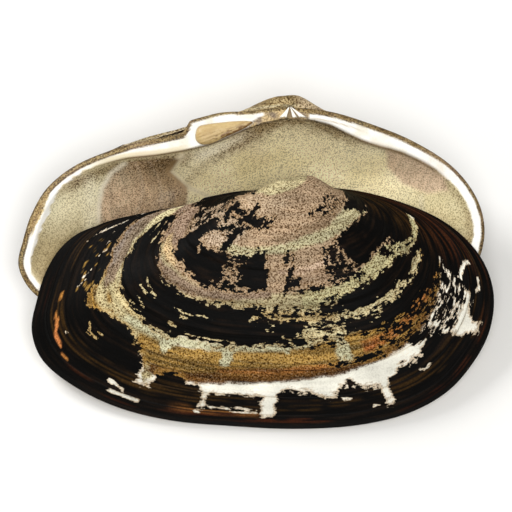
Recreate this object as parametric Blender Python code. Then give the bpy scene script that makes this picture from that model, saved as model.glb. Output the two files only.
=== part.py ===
"""An empty two-valved shell, of the clam and pearl-mussel kind, lying on a flat surface.

The left valve lies on its back with its hollow up. The right valve lies on it with its hollow down, slid
towards the lower margin, so that its rim rests on the left valve's rim at both ends and on the surface in
front. The ligament that once joined them is still on the left valve's hinge.

Valve coordinates, in millimetres: the origin is the centre that the beak coils round, +X points to the front
end, +Y up past the hinge, and the plane z = 0 is where the closed valves meet. The right valve bulges to +Z.
The left valve bulges to -Z, and has its own outline: its rear end is cut off more steeply.

Each valve grows by a rule. Its edge at any age is the full outline made smaller by the growth, g, and turned
back about the hinge line, which gives a logarithmic spiral from the beak, g near 0, to the margin, g = 1.
"""

from math import cos, exp, log, pi, radians, sin

import bmesh
import bpy
import numpy as np
from mathutils import Matrix, Vector

MM = 0.001

# The margins, from under the beak by way of the front end: x, y and the width of the flat land inside them.
LEFT_OUTLINE = (
    (0.5, -0.9, 2.5),
    (10.0, -1.8, 3.0),
    (20.0, -4.8, 4.4),
    (30.0, -8.9, 3.5),
    (39.2, -14.8, 3.0),
    (45.0, -22.2, 2.6),
    (47.0, -30.0, 2.6),
    (45.2, -38.0, 2.6),
    (39.5, -45.6, 2.6),
    (30.5, -51.9, 2.6),
    (18.0, -56.3, 2.6),
    (3.0, -58.1, 2.6),
    (-13.0, -57.8, 2.6),
    (-29.0, -56.1, 2.6),
    (-42.5, -53.3, 2.6),
    (-53.5, -49.3, 2.6),
    (-60.6, -44.6, 2.6),
    (-63.8, -38.5, 2.5),
    (-62.6, -32.0, 2.3),
    (-60.6, -26.0, 2.2),
    (-56.8, -19.8, 2.0),
    (-50.0, -14.5, 2.0),
    (-40.0, -10.4, 2.8),
    (-30.0, -7.5, 4.4),
    (-20.0, -4.6, 5.2),
    (-9.0, -1.9, 3.5),
)
RIGHT_OUTLINE = (
    (0.0, -0.8, 2.2),
    (10.0, -0.9, 3.0),
    (20.0, -2.9, 4.0),
    (31.0, -7.0, 3.5),
    (38.3, -12.0, 3.0),
    (43.5, -18.5, 2.6),
    (45.8, -26.0, 2.6),
    (45.0, -34.0, 2.6),
    (41.6, -41.2, 2.6),
    (35.0, -48.9, 2.6),
    (25.5, -54.2, 2.6),
    (13.0, -57.1, 2.6),
    (-2.0, -57.9, 2.6),
    (-17.0, -57.2, 2.6),
    (-31.0, -55.9, 2.6),
    (-43.5, -52.8, 2.6),
    (-54.0, -47.7, 2.6),
    (-61.4, -41.5, 2.6),
    (-63.9, -34.5, 2.6),
    (-62.6, -27.0, 2.6),
    (-60.6, -20.8, 2.6),
    (-57.4, -15.4, 2.7),
    (-53.0, -11.6, 2.8),
    (-47.0, -9.3, 3.0),
    (-39.0, -7.5, 3.4),
    (-29.0, -5.2, 4.4),
    (-19.0, -3.0, 4.8),
    (-9.0, -1.2, 3.4),
)
COLUMNS = 60  # points round the outline
COIL = 1.25  # growth per radian of coiling, as a logarithm: a smaller number swells the valve
LEAN = 1.8  # how far forward of the coil's centre the youngest growth lies
NARROWING = 0.27  # share by which the youngest growth is narrower than the outline
EDGE = 0.8  # thickness at the margin
WALL = 2.4  # thickness of the wall well inside the margin, measured along z
WALL_REACH = 3.0  # height of the outer side over which the wall thickens
UMBO_WALL = 2.4  # what the wall gains under the beak
UMBO_REACH = 15.0  # how far from the beak the wall is thickened
CAVITY_SLOPE = 1.35  # steepest side of the hollow, as depth over distance
CAVITY_MIDDLE = (-8.0, -27.0)

# The shoulder where the margin stands out round the ligament, and the dip behind the left one.
SHOULDER_END = -23.7
SHOULDER_START = -7.0
SHOULDER_AGE = 0.86  # growth at which it begins
LEFT_RISE = 1.5
LEFT_DIP = 0.8
RIGHT_RISE = 0.8

# Growth stops: the growth at which each one lies, and the height of its ledge.
STOPS = ((0.30, 0.35), (0.44, 0.4), (0.55, 0.4), (0.66, 0.55), (0.77, 0.45), (0.87, 0.6), (0.94, 0.45))
LEDGE_FADE = 0.035  # share of growth over which a ledge rises behind its stop
LEDGE_STEP = 0.006
FIRST_GROWTHS = (0.035, 0.07, 0.11, 0.16, 0.22)
RIDGE_AT = radians(-57)  # the blunt ridge that runs from the beak to the lower rear corner
RIDGE_WIDTH = radians(11)
RIDGE_RISE = 1.1

# Where the right valve lies on the left one, and how far both are worn flat on the surface.
SLIDE = (3.3, -19.3)
GAP = 0.3
WEAR = 0.5

LIGAMENT_REAR = (-21.6, -7.3)
LIGAMENT_FRONT = (-8.0, -4.3)
LIGAMENT_HALF_WIDTH = 2.2
LIGAMENT_HEIGHT = 1.7

TOOTH_APEX = (0.7, -1.3)
TOOTH_LENGTH = 2.7
TOOTH_WIDTH = 0.9
TOOTH_HEIGHT = 0.7
TOOTH_ROOT = 0.6
LEFT_TEETH = (-42, 0, 42)  # degrees from straight down
RIGHT_TEETH = (-21, 21)

COLOURS = {
    "left_valve": (0.60, 0.52, 0.36, 1),
    "right_valve": (0.30, 0.21, 0.14, 1),
    "ligament": (0.55, 0.33, 0.12, 1),
}


# ---------------------------------------------------------------- the outline and the coil


def closed_curve(rows, count):
    """count points, evenly spaced along a smooth closed curve through the rows."""
    rows = np.array(rows)
    ahead = np.roll(rows, -1, axis=0)
    spans = np.linalg.norm((ahead - rows)[:, :2], axis=1)
    before = np.roll(spans, 1)
    tangents = (ahead - np.roll(rows, 1, axis=0)) / (spans + before)[:, None]
    fine = []
    for i, span in enumerate(spans):
        t = np.linspace(0, 1, 40, endpoint=False)[:, None]
        start, end = rows[i], ahead[i]
        leave, arrive = tangents[i] * span, np.roll(tangents, -1, axis=0)[i] * span
        fine.append(
            start * (2 * t**3 - 3 * t**2 + 1)
            + leave * (t**3 - 2 * t**2 + t)
            + end * (3 * t**2 - 2 * t**3)
            + arrive * (t**3 - t**2)
        )
    fine = np.concatenate(fine + [fine[0][:1]])
    along = np.r_[0, np.cumsum(np.linalg.norm(np.diff(fine[:, :2], axis=0), axis=1))]
    wanted = np.linspace(0, along[-1], count, endpoint=False)
    return np.stack([np.interp(wanted, along, column) for column in fine.T], axis=1)


def smooth_step(value, start, end):
    t = np.clip((value - start) / (end - start), 0, 1)
    return t * t * (3 - 2 * t)


def shoulder(x, rise, dip):
    """How far the full margin stands out round the ligament: a sharp rear end that fades to the beak."""
    rear = smooth_step(x, SHOULDER_END - 1.1, SHOULDER_END + 0.9)
    front = 1 - smooth_step(x, SHOULDER_END + 6, SHOULDER_START)
    return rise * rear * front - dip * (1 - rear) * np.exp(-(((x - SHOULDER_END) / 9) ** 2))


def valve_edge(outline, rise, dip, count):
    """Points round a valve's margin: x, y, the width of the land, and what the shoulder adds to y."""
    edge = closed_curve(outline, count)
    added = np.where((edge[:, 0] < 0) & (edge[:, 1] > -20), shoulder(edge[:, 0], rise, dip), 0)
    return np.column_stack([edge, added])


def coil_angle(growth):
    return -log(growth) / COIL


def bearing(points):
    """The direction of points in the valve's plane, from straight down, with the front end positive."""
    return np.arctan2(points[:, 0], -points[:, 1])


def growth_line(edge, growth):
    """The margin as it was at that growth, turned back about the hinge line."""
    angle = coil_angle(growth)
    youth = (1 - growth) ** 3
    x = growth * edge[:, 0] * (1 - NARROWING * youth) + LEAN * youth
    out = growth * edge[:, 1] + edge[:, 3] * smooth_step(growth, SHOULDER_AGE, 1)
    return np.stack([x, out * cos(angle), -out * sin(angle) + EDGE], axis=1)


def ledge_height(growth):
    """Each ledge rises slowly behind its stop, and drops at it."""
    return sum(
        height * exp((growth - stop) / LEDGE_FADE) for stop, height in STOPS if growth <= stop
    )


def outer_ring(edge, growth):
    """A growth line with the ledges and the rear ridge on it, raised square to the surface."""
    line = growth_line(edge, growth)
    around = np.roll(line, -1, axis=0) - np.roll(line, 1, axis=0)
    across = growth_line(edge, min(growth * 1.01, 1.0)) - growth_line(edge, growth * 0.99)
    outward = np.cross(around, across)
    outward /= np.maximum(np.linalg.norm(outward, axis=1), 1e-9)[:, None]
    ridge = RIDGE_RISE * np.exp(-(((bearing(edge) - RIDGE_AT) / RIDGE_WIDTH) ** 2))
    ridge *= 4 * growth * (1 - 0.75 * growth) - growth**6 * 0.99
    ventral = smooth_step(-line[:, 1] / growth, 2, 12)
    return line + outward * (ledge_height(growth) * ventral + np.maximum(ridge, 0))[:, None]


def growths():
    """The growth of each outer ring: the beak, then both sides of each stop, then the margin."""
    found = list(FIRST_GROWTHS)
    for stop, _ in STOPS:
        middle = (found[-1] + stop) / 2
        found += [middle, stop, stop + LEDGE_STEP]
    return found + [0.97, 1.0]


# ---------------------------------------------------------------- the hollow


def far_reach(edge, directions):
    """How far the full outline is from the beak in each direction."""
    angles = bearing(edge)
    front, rear = int(angles.argmax()), int(angles.argmin())
    far = edge[front : rear + 1]
    far = far[np.argsort(bearing(far))]
    return np.interp(directions, bearing(far), np.linalg.norm(far[:, :2], axis=1))


def outer_height(edge, points):
    """Height of the plain outer surface over points of the valve's plane, by halving the range of growth."""
    low = np.full(len(points), exp(-COIL * pi / 2) + 1e-6)
    high = np.ones(len(points))
    for _ in range(30):
        middle = (low + high) / 2
        youth = (1 - middle) ** 3
        x = (points[:, 0] - LEAN * youth) / (1 - NARROWING * youth)
        opened = np.stack([x, points[:, 1] / np.cos(-np.log(middle) / COIL)], axis=1)
        inside = np.linalg.norm(opened, axis=1) / far_reach(edge, bearing(opened)) < middle
        high = np.where(inside, middle, high)
        low = np.where(inside, low, middle)
    return -points[:, 1] * np.tan(-np.log(high) / COIL) + EDGE


def cavity_depth(edge, points):
    """Depth of the hollow: nothing on the land, then down its sides to the wall's own thickness."""
    gaps = np.linalg.norm(points[:, None, :2] - edge[None, :, :2], axis=2) - edge[None, :, 2]
    side = CAVITY_SLOPE * np.maximum(gaps.min(axis=1), 0)
    from_beak = np.linalg.norm(points[:, :2], axis=1)
    top = outer_height(edge, points)
    wall = EDGE + (WALL - EDGE) * (1 - np.exp((EDGE - top) / WALL_REACH))
    wall += UMBO_WALL * np.exp(-((from_beak / UMBO_REACH) ** 2))
    floor = np.maximum(top - wall, 0)
    softness = 1.2
    rounded = (side + floor - np.sqrt((side - floor) ** 2 + softness**2)) / 2
    return np.maximum(rounded, 0)


def inner_rings(edge, fine_edge):
    """Rings of the inner side, from the margin in: the land, its inner edge, then the hollow."""
    ahead = np.roll(edge, -1, axis=0) - np.roll(edge, 1, axis=0)
    inward = np.stack([ahead[:, 1], -ahead[:, 0]], axis=1)
    inward /= np.linalg.norm(inward, axis=1)[:, None]
    margin = growth_line(edge, 1.0)[:, :2]
    land = edge[:, :2] + inward * edge[:, 2:3]
    flat = np.zeros((len(edge), 1))
    rings = [np.hstack([margin, flat]), np.hstack([land, flat])]
    for share in (0.05, 0.12, 0.22, 0.36, 0.52, 0.7, 0.86):
        points = land + (np.array(CAVITY_MIDDLE) - land) * share
        rings.append(np.hstack([points, cavity_depth(fine_edge, points)[:, None]]))
    return rings


# ---------------------------------------------------------------- solids


def add_rings(mesh, rings, first, last):
    """Joins the rings one to the next, and closes each end on a point."""
    loops = [[mesh.verts.new(point) for point in ring] for ring in rings]
    for near, far in zip(loops, loops[1:]):
        for i, corner in enumerate(near):
            mesh.faces.new((corner, near[i - 1], far[i - 1], far[i]))
    for loop, point, turn in ((loops[0], first, 1), (loops[-1], last, -1)):
        tip = mesh.verts.new(point)
        for i, corner in enumerate(loop):
            mesh.faces.new((corner, tip, loop[i - 1])[::turn])


def plain_valve(outline, rise, dip):
    """A valve that bulges to +Z: the outer side from the beak to the margin, then the inner side."""
    fine_edge = valve_edge(outline, rise, dip, 6 * COLUMNS)
    edge = valve_edge(outline, rise, dip, COLUMNS)
    rings = [outer_ring(edge, growth) for growth in growths()]
    rings += inner_rings(edge, fine_edge)
    beak = rings[0].mean(axis=0)
    deepest = np.array([CAVITY_MIDDLE])
    middle = (*CAVITY_MIDDLE, cavity_depth(fine_edge, deepest)[0])
    mesh = bmesh.new()
    add_rings(mesh, rings, beak, middle)
    bmesh.ops.remove_doubles(mesh, verts=mesh.verts, dist=0.02)
    bmesh.ops.triangulate(mesh, faces=mesh.faces, quad_method="FIXED")
    bmesh.ops.recalc_face_normals(mesh, faces=mesh.faces)
    return mesh


def tooth(angle):
    """A low ridge of the hinge, from under the beak outwards, with its root sunk in the land."""
    mesh = bmesh.new()
    along = Vector((sin(angle), -cos(angle), 0))
    across = Vector((cos(angle), sin(angle), 0)) * TOOTH_WIDTH / 2
    start = Vector((*TOOTH_APEX, 0))
    end = start + along * TOOTH_LENGTH
    root = Vector((0, 0, TOOTH_ROOT))
    crest = Vector((0, 0, -TOOTH_HEIGHT))
    rows = []
    for place, width, height in ((start, 0.5, 0.35), (end - along * 0.6, 1.0, 1.0), (end, 0.7, 0.5)):
        corners = (
            place + root - across * width,
            place - across * width * 0.8,
            place + crest * height,
            place + across * width * 0.8,
            place + root + across * width,
        )
        rows.append([mesh.verts.new(corner) for corner in corners])
    for near, far in zip(rows, rows[1:]):
        for i, corner in enumerate(near):
            mesh.faces.new((corner, near[i - 1], far[i - 1], far[i]))
    mesh.faces.new(rows[0])
    mesh.faces.new(rows[-1][::-1])
    bmesh.ops.recalc_face_normals(mesh, faces=mesh.faces)
    return mesh


def ligament():
    """A swollen teardrop along the hinge behind the beak, lying on the left valve's land."""
    rear, front = Vector(LIGAMENT_REAR), Vector(LIGAMENT_FRONT)
    mesh = bmesh.new()
    bmesh.ops.create_icosphere(mesh, subdivisions=2, radius=1)
    for vert in mesh.verts:
        along = (vert.co.x + 1) / 2
        width = LIGAMENT_HALF_WIDTH * (1 - 0.72 * along)
        place = rear.lerp(front, along)
        height = LIGAMENT_HEIGHT * (1 - 0.5 * along) * max(vert.co.z + 0.25, 0) / 1.25
        vert.co = (place.x, place.y + vert.co.y * width, GAP + height)
    bmesh.ops.remove_doubles(mesh, verts=mesh.verts, dist=0.01)
    return mesh


# ---------------------------------------------------------------- placing and output


def lowest(points, tilt):
    return (points[:, 2] * cos(tilt) + points[:, 1] * sin(tilt)).min()


def resting_tilt(left, right):
    """The slope at which the left valve's back and the right valve's lower margin both touch the surface."""
    level, steep = 0.0, radians(40)
    for _ in range(40):
        middle = (level + steep) / 2
        if lowest(right, middle) > lowest(left, middle):
            level = middle
        else:
            steep = middle
    return middle


def coordinates(mesh):
    return np.array([vert.co[:] for vert in mesh.verts])


def worn_flat(mesh):
    """Cuts away what is below the surface that the shell lies on, and closes the cut."""
    geometry = mesh.verts[:] + mesh.edges[:] + mesh.faces[:]
    cut = bmesh.ops.bisect_plane(
        mesh, geom=geometry, dist=1e-5, plane_co=(0, 0, 0), plane_no=(0, 0, -1), clear_outer=True
    )["geom_cut"]
    rim = [item for item in cut if isinstance(item, bmesh.types.BMEdge)]
    if rim:
        filled = bmesh.ops.holes_fill(mesh, edges=rim, sides=0)["faces"]
        bmesh.ops.triangulate(mesh, faces=filled)
    bmesh.ops.recalc_face_normals(mesh, faces=mesh.faces)


def add_object(name, mesh, colour):
    data = bpy.data.meshes.new(name)
    mesh.to_mesh(data)
    mesh.free()
    item = bpy.data.objects.new(name, data)
    bpy.context.scene.collection.objects.link(item)
    data.shade_smooth()
    material = bpy.data.materials.new(name)
    material.use_nodes = True
    shader = material.node_tree.nodes["Principled BSDF"]
    shader.inputs["Base Color"].default_value = colour
    shader.inputs["Roughness"].default_value = 0.5
    data.materials.append(material)
    return item


def with_teeth(mesh, angles):
    """The valve with its teeth joined on, as one body."""
    body = add_object("body", mesh, (1, 1, 1, 1))
    for number, angle in enumerate(angles):
        ridge = add_object(f"ridge{number}", tooth(radians(angle)), (1, 1, 1, 1))
        join = body.modifiers.new(ridge.name, "BOOLEAN")
        join.operation = "UNION"
        join.solver = "EXACT"
        join.object = ridge
    seen = bpy.context.evaluated_depsgraph_get()
    joined = bmesh.new()
    joined.from_object(body, seen)
    bpy.data.objects.remove(body, do_unlink=True)
    for item in [item for item in bpy.data.objects if item.name.startswith("ridge")]:
        bpy.data.objects.remove(item, do_unlink=True)
    bmesh.ops.triangulate(joined, faces=joined.faces)
    return joined


def build():
    for item in list(bpy.data.objects):
        bpy.data.objects.remove(item, do_unlink=True)
    left = with_teeth(plain_valve(LEFT_OUTLINE, LEFT_RISE, LEFT_DIP), LEFT_TEETH)
    bmesh.ops.transform(left, matrix=Matrix.Diagonal((1, 1, -1, 1)), verts=left.verts)
    right = with_teeth(plain_valve(RIGHT_OUTLINE, RIGHT_RISE, 0), RIGHT_TEETH)
    bmesh.ops.translate(right, vec=(*SLIDE, GAP), verts=right.verts)
    meshes = {"left_valve": left, "right_valve": right, "ligament": ligament()}
    tilt = resting_tilt(coordinates(left), coordinates(right))
    turned = Matrix.Rotation(tilt, 4, "X")
    for mesh in meshes.values():
        bmesh.ops.transform(mesh, matrix=turned, verts=mesh.verts)
    spans = np.concatenate([coordinates(mesh) for mesh in meshes.values()])
    middle = (spans.min(axis=0) + spans.max(axis=0)) / 2
    down = -spans[:, 2].min() - WEAR
    for name, mesh in meshes.items():
        bmesh.ops.translate(mesh, vec=(-middle[0], -middle[1], down), verts=mesh.verts)
        worn_flat(mesh)
        bmesh.ops.scale(mesh, vec=(MM, MM, MM), verts=mesh.verts)
        add_object(name, mesh, COLOURS[name])


build()
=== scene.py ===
from math import cos, exp, pi, radians, sin

import bpy
import numpy as np
from mathutils import Matrix, Vector


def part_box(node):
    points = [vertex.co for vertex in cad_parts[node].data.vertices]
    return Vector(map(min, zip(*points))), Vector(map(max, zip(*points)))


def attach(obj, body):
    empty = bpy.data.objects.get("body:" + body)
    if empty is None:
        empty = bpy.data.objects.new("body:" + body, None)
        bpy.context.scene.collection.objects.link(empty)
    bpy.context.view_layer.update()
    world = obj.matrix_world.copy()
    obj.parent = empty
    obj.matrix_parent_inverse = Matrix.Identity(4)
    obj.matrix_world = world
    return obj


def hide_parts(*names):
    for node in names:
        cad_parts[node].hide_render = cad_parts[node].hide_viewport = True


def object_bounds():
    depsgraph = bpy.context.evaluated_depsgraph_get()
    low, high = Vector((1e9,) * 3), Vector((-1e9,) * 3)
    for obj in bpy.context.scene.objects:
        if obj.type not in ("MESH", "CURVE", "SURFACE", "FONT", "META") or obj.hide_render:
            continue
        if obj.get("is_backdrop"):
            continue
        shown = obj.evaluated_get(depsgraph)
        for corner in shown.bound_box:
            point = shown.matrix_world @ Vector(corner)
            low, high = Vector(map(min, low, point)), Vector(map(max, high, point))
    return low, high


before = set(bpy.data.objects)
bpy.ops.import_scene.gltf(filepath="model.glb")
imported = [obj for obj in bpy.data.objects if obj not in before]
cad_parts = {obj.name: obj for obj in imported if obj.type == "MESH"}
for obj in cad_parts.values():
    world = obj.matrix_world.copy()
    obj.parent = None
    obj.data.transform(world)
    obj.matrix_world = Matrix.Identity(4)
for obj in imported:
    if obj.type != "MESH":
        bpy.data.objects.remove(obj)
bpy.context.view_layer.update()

MM = 0.001

# ---- the shell's own measures, as in the CAD part
# Millimetres in a valve's own frame: the origin is the centre that the beak coils round, +X points to the
# front end, +Y past the hinge, and closed valves meet at z = 0. Growth is a share of the full size, 1 at the
# margin.

LAND = 2.6  # width of the flat land inside the margin, where an outline doesn't say another
# The margins, from under the beak by way of the front end: x, y and the width of the land.
LEFT_OUTLINE = (
    (0.5, -0.9, 2.5), (10, -1.8, 3), (20, -4.8, 4.4), (30, -8.9, 3.5), (39.2, -14.8, 3), (45, -22.2),
    (47, -30), (45.2, -38), (39.5, -45.6), (30.5, -51.9), (18, -56.3), (3, -58.1), (-13, -57.8), (-29, -56.1),
    (-42.5, -53.3), (-53.5, -49.3), (-60.6, -44.6), (-63.8, -38.5, 2.5), (-62.6, -32, 2.3), (-60.6, -26, 2.2),
    (-56.8, -19.8, 2), (-50, -14.5, 2), (-40, -10.4, 2.8), (-30, -7.5, 4.4), (-20, -4.6, 5.2),
    (-9, -1.9, 3.5),
)
RIGHT_OUTLINE = (
    (0, -0.8, 2.2), (10, -0.9, 3), (20, -2.9, 4), (31, -7, 3.5), (38.3, -12, 3), (43.5, -18.5), (45.8, -26),
    (45, -34), (41.6, -41.2), (35, -48.9), (25.5, -54.2), (13, -57.1), (-2, -57.9), (-17, -57.2),
    (-31, -55.9), (-43.5, -52.8), (-54, -47.7), (-61.4, -41.5), (-63.9, -34.5), (-62.6, -27), (-60.6, -20.8),
    (-57.4, -15.4, 2.7), (-53, -11.6, 2.8), (-47, -9.3, 3), (-39, -7.5, 3.4), (-29, -5.2, 4.4),
    (-19, -3, 4.8), (-9, -1.2, 3.4),
)
COIL = 1.25  # growth per radian of coiling, as a logarithm
LEAN = 1.8  # how far forward of the origin the youngest growth lies
NARROWING = 0.27  # share by which the youngest growth is narrower
EDGE = 0.8  # thickness at the margin
WALL = 2.4  # thickness well inside the margin
WALL_REACH = 3.0  # height over which the wall thickens
UMBO_WALL = 2.4  # what the wall gains under the beak
UMBO_REACH = 15.0  # how far from the beak that reaches
CAVITY_SLOPE = 1.35  # steepest side of the hollow
CAVITY_ROUNDING = 1.2  # how softly its side meets its floor
CAVITY_MIDDLE = np.array((-8, -27))
# The shoulder where the margin stands out round the ligament, and the dip behind the left one.
SHOULDER_END = -23.7
SHOULDER_START = -7.0
SHOULDER_AGE = 0.86
LEFT_RISE = 1.5
LEFT_DIP = 0.8
RIGHT_RISE = 0.8
# Growth stops: the growth at which each one lies, and the height of its ledge.
STOPS = ((0.3, 0.35), (0.44, 0.4), (0.55, 0.4), (0.66, 0.55), (0.77, 0.45), (0.87, 0.6), (0.94, 0.45))
LEDGE_FADE = 0.035  # growth over which a ledge rises to its stop
RIDGE_AT = radians(-57)  # the blunt ridge from the beak to the lower rear corner
RIDGE_WIDTH = radians(11)
RIDGE_RISE = 1.1
# How the right valve lies on the left one, and how far the plane of their margins is tilted.
SLIDE = (3.3, -19.3)
GAP = 0.3
TILT = radians(19.20576)
TURN = np.array(Matrix.Rotation(TILT, 3, "X")).T

YOUNGEST = 0.03  # growth at the first line of the outer side
COLUMNS = 460  # points round a valve
FLAT_ROWS = 14  # rows of points across the land
SPREAD = 60  # degrees of bearing that count as much as all the growth

# The pink and golden bands are this much darker than their strokes say; cream and white aren't.
PIGMENT = 0.84


# ---- small tools


def ease(value, start, end):
    """0 up to start, 1 from end on, and an even turn between."""
    t = np.clip((value - start) / (end - start), 0, 1)
    return t * t * (3 - 2 * t)


def plateau(value, start, top, fall, end):
    """0 up to start, 1 from top to fall, and 0 again from end on."""
    return ease(value, start, top) * (1 - ease(value, fall, end))


def bell(value, middle, width):
    return np.exp(-(((value - middle) / width) ** 2))


def length(vectors):
    return np.linalg.norm(vectors, axis=-1)


def mix(a, b, share):
    share = np.asarray(share)[..., None]
    return a * (1 - share) + b * share


def rgb(*values):
    """A colour given in the 0 to 255 display scale, as linear light."""
    c = np.array(values) / 255
    return np.where(c <= 0.04045, c / 12.92, ((c + 0.055) / 1.055) ** 2.4)


def lattice(ix, iy, seed):
    """A repeatable random value from -1 to 1 for each whole point of a grid."""
    h = (ix * 374761393 + iy * 668265263 + seed * 974634777) & 0xFFFFFFFF
    h = ((h ^ (h >> 13)) * 1274126177) & 0xFFFFFFFF
    h = ((h ^ (h >> 16)) * 2246822519) & 0xFFFFFFFF
    return ((h ^ (h >> 15)) & 0xFFFFFF) / 0x7FFFFF - 1


def noise(x, y, seed, octaves=1):
    """Smooth random values from about -1 to 1; each octave is twice as fine and half as strong."""
    total, size, weight = 0, 1, 0
    for octave in range(octaves):
        gx, gy = x * 2**octave + 17.3 * octave, y * 2**octave - 9.1 * octave
        ix, iy = np.floor(gx).astype(np.int64), np.floor(gy).astype(np.int64)
        fx, fy = gx - ix, gy - iy
        fx, fy = fx * fx * (3 - 2 * fx), fy * fy * (3 - 2 * fy)
        corners = [lattice(ix + i, iy + j, seed + octave) for i, j in ((0, 0), (1, 0), (0, 1), (1, 1))]
        low = corners[0] * (1 - fx) + corners[1] * fx
        high = corners[2] * (1 - fx) + corners[3] * fx
        total = total + (low * (1 - fy) + high * fy) * size
        weight += size
        size /= 2
    return total / weight * 1.5


def distance_to_line(x, y, line):
    """Distance from each point to a broken line, and how far along it the nearest place is, from 0 to 1."""
    line = np.array(line, float)
    best = np.full(x.shape, 1e9)
    along = np.zeros(x.shape)
    lengths = np.r_[0, np.cumsum(length(np.diff(line, axis=0)))]
    for i, (a, b) in enumerate(zip(line, line[1:])):
        ab = b - a
        t = np.clip(((x - a[0]) * ab[0] + (y - a[1]) * ab[1]) / (ab @ ab), 0, 1)
        gap = np.hypot(x - a[0] - t * ab[0], y - a[1] - t * ab[1])
        nearer = gap < best
        best = np.where(nearer, gap, best)
        along = np.where(nearer, (lengths[i] + t * np.sqrt(ab @ ab)) / lengths[-1], along)
    return best, along


def line_gap(x, y, line):
    return distance_to_line(x, y, line)[0]


def inside_depth(x, y, corners):
    """Distance to a closed outline, positive inside it."""
    corners = list(corners)
    gap = line_gap(x, y, corners + corners[:1])
    inside = np.zeros(x.shape, bool)
    for (ax, ay), (bx, by) in zip(corners, corners[1:] + corners[:1]):
        crosses = (ay > y) != (by > y)
        with np.errstate(divide="ignore", invalid="ignore"):
            inside ^= crosses & (x < (bx - ax) * (y - ay) / (by - ay) + ax)
    return np.where(inside, gap, -gap)


# ---- the outline and the coil


def closed_curve(rows, count):
    """Evenly spaced points on a smooth closed curve through the rows' first two columns."""
    rows = np.array(rows)
    ahead = np.roll(rows, -1, axis=0)
    spans = length((ahead - rows)[:, :2])
    before = np.roll(spans, 1)
    tangents = (ahead - np.roll(rows, 1, axis=0)) / (spans + before)[:, None]
    fine = []
    for i, span in enumerate(spans):
        t = np.linspace(0, 1, 60, endpoint=False)[:, None]
        start, end = rows[i], ahead[i]
        leave, arrive = tangents[i] * span, np.roll(tangents, -1, axis=0)[i] * span
        fine.append(
            start * (2 * t**3 - 3 * t**2 + 1)
            + leave * (t**3 - 2 * t**2 + t)
            + end * (3 * t**2 - 2 * t**3)
            + arrive * (t**3 - t**2)
        )
    fine = np.concatenate(fine + [fine[0][:1]])
    along = np.r_[0, np.cumsum(length(np.diff(fine[:, :2], axis=0)))]
    wanted = np.linspace(0, along[-1], count, endpoint=False)
    return np.stack([np.interp(wanted, along, column) for column in fine.T], axis=1)


def shoulder(x, rise, dip):
    """What the margin gains in y by the ligament, and loses behind it."""
    rear = ease(x, SHOULDER_END - 1.1, SHOULDER_END + 0.9)
    front = 1 - ease(x, SHOULDER_END + 6, SHOULDER_START)
    return rise * rear * front - dip * (1 - rear) * bell(x, SHOULDER_END, 9)


def valve_edge(side, count):
    """Points round the margin of the right valve (side 1) or the left one (side -1).

    Each has x, y, the width of the land, and what the shoulder adds to y at full growth.
    """
    outline, rise, dip = (RIGHT_OUTLINE, RIGHT_RISE, 0) if side > 0 else (LEFT_OUTLINE, LEFT_RISE, LEFT_DIP)
    edge = closed_curve([(*row, LAND)[:3] for row in outline], count)
    added = np.where((edge[:, 0] < 0) & (edge[:, 1] > -20), shoulder(edge[:, 0], rise, dip), 0)
    return np.column_stack([edge, added])


def bearing(points):
    """Angle from straight down, towards the front end."""
    return np.arctan2(points[:, 0], -points[:, 1])


def growth_lines(edge, growth):
    """The margin at each age, turned back about the hinge line: one row for each age."""
    g = growth[:, None]
    angle = -np.log(g) / COIL
    youth = (1 - g) ** 3
    x = g * edge[:, 0] * (1 - NARROWING * youth) + LEAN * youth
    out = g * edge[:, 1] + edge[:, 3] * ease(g, SHOULDER_AGE, 1)
    return np.stack([x, out * np.cos(angle), -out * np.sin(angle) + EDGE], axis=2)


def compass(edge):
    """Each column's bearing in degrees, from straight down; along the hinge it goes on past 80 to 100."""
    angles = np.degrees(bearing(edge))
    front, rear = angles.argmax(), angles.argmin()
    index = np.arange(len(edge))
    angles = np.where(index < front, 100 + (angles[front] - 100) * index / front, angles)
    past = (index - rear) / (len(edge) - rear)
    return np.where(index > rear, angles[rear] + (-100 - angles[rear]) * past, angles)


def far_reach(edge, directions):
    """How far the margin is from the origin in these directions."""
    angles = bearing(edge)
    far = edge[angles.argmax() : angles.argmin() + 1]
    far = far[np.argsort(bearing(far))]
    return np.interp(directions, bearing(far), length(far[:, :2]))


def outer_height(edge, points):
    """Height of the outer side over points of the plane of the margin."""
    low = np.full(len(points), exp(-COIL * pi / 2) + 1e-6)
    high = np.ones(len(points))
    for _ in range(30):
        middle = (low + high) / 2
        youth = (1 - middle) ** 3
        x = (points[:, 0] - LEAN * youth) / (1 - NARROWING * youth)
        opened = np.stack([x, points[:, 1] / np.cos(-np.log(middle) / COIL)], axis=1)
        inside = length(opened) / far_reach(edge, bearing(opened)) < middle
        high = np.where(inside, middle, high)
        low = np.where(inside, low, middle)
    return -points[:, 1] * np.tan(-np.log(high) / COIL) + EDGE


def cavity_depth(edge, points, gap):
    """Depth of the hollow under points that are that far inside the land."""
    side = CAVITY_SLOPE * np.maximum(gap, 0)
    from_beak = length(points[:, :2])
    top = outer_height(edge, points)
    wall = EDGE + (WALL - EDGE) * (1 - np.exp((EDGE - top) / WALL_REACH))
    wall += UMBO_WALL * np.exp(-((from_beak / UMBO_REACH) ** 2))
    floor = np.maximum(top - wall, 0)
    rounded = (side + floor - np.sqrt((side - floor) ** 2 + CAVITY_ROUNDING**2)) / 2
    return np.maximum(rounded, 0)


# ---- the outer side

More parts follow.
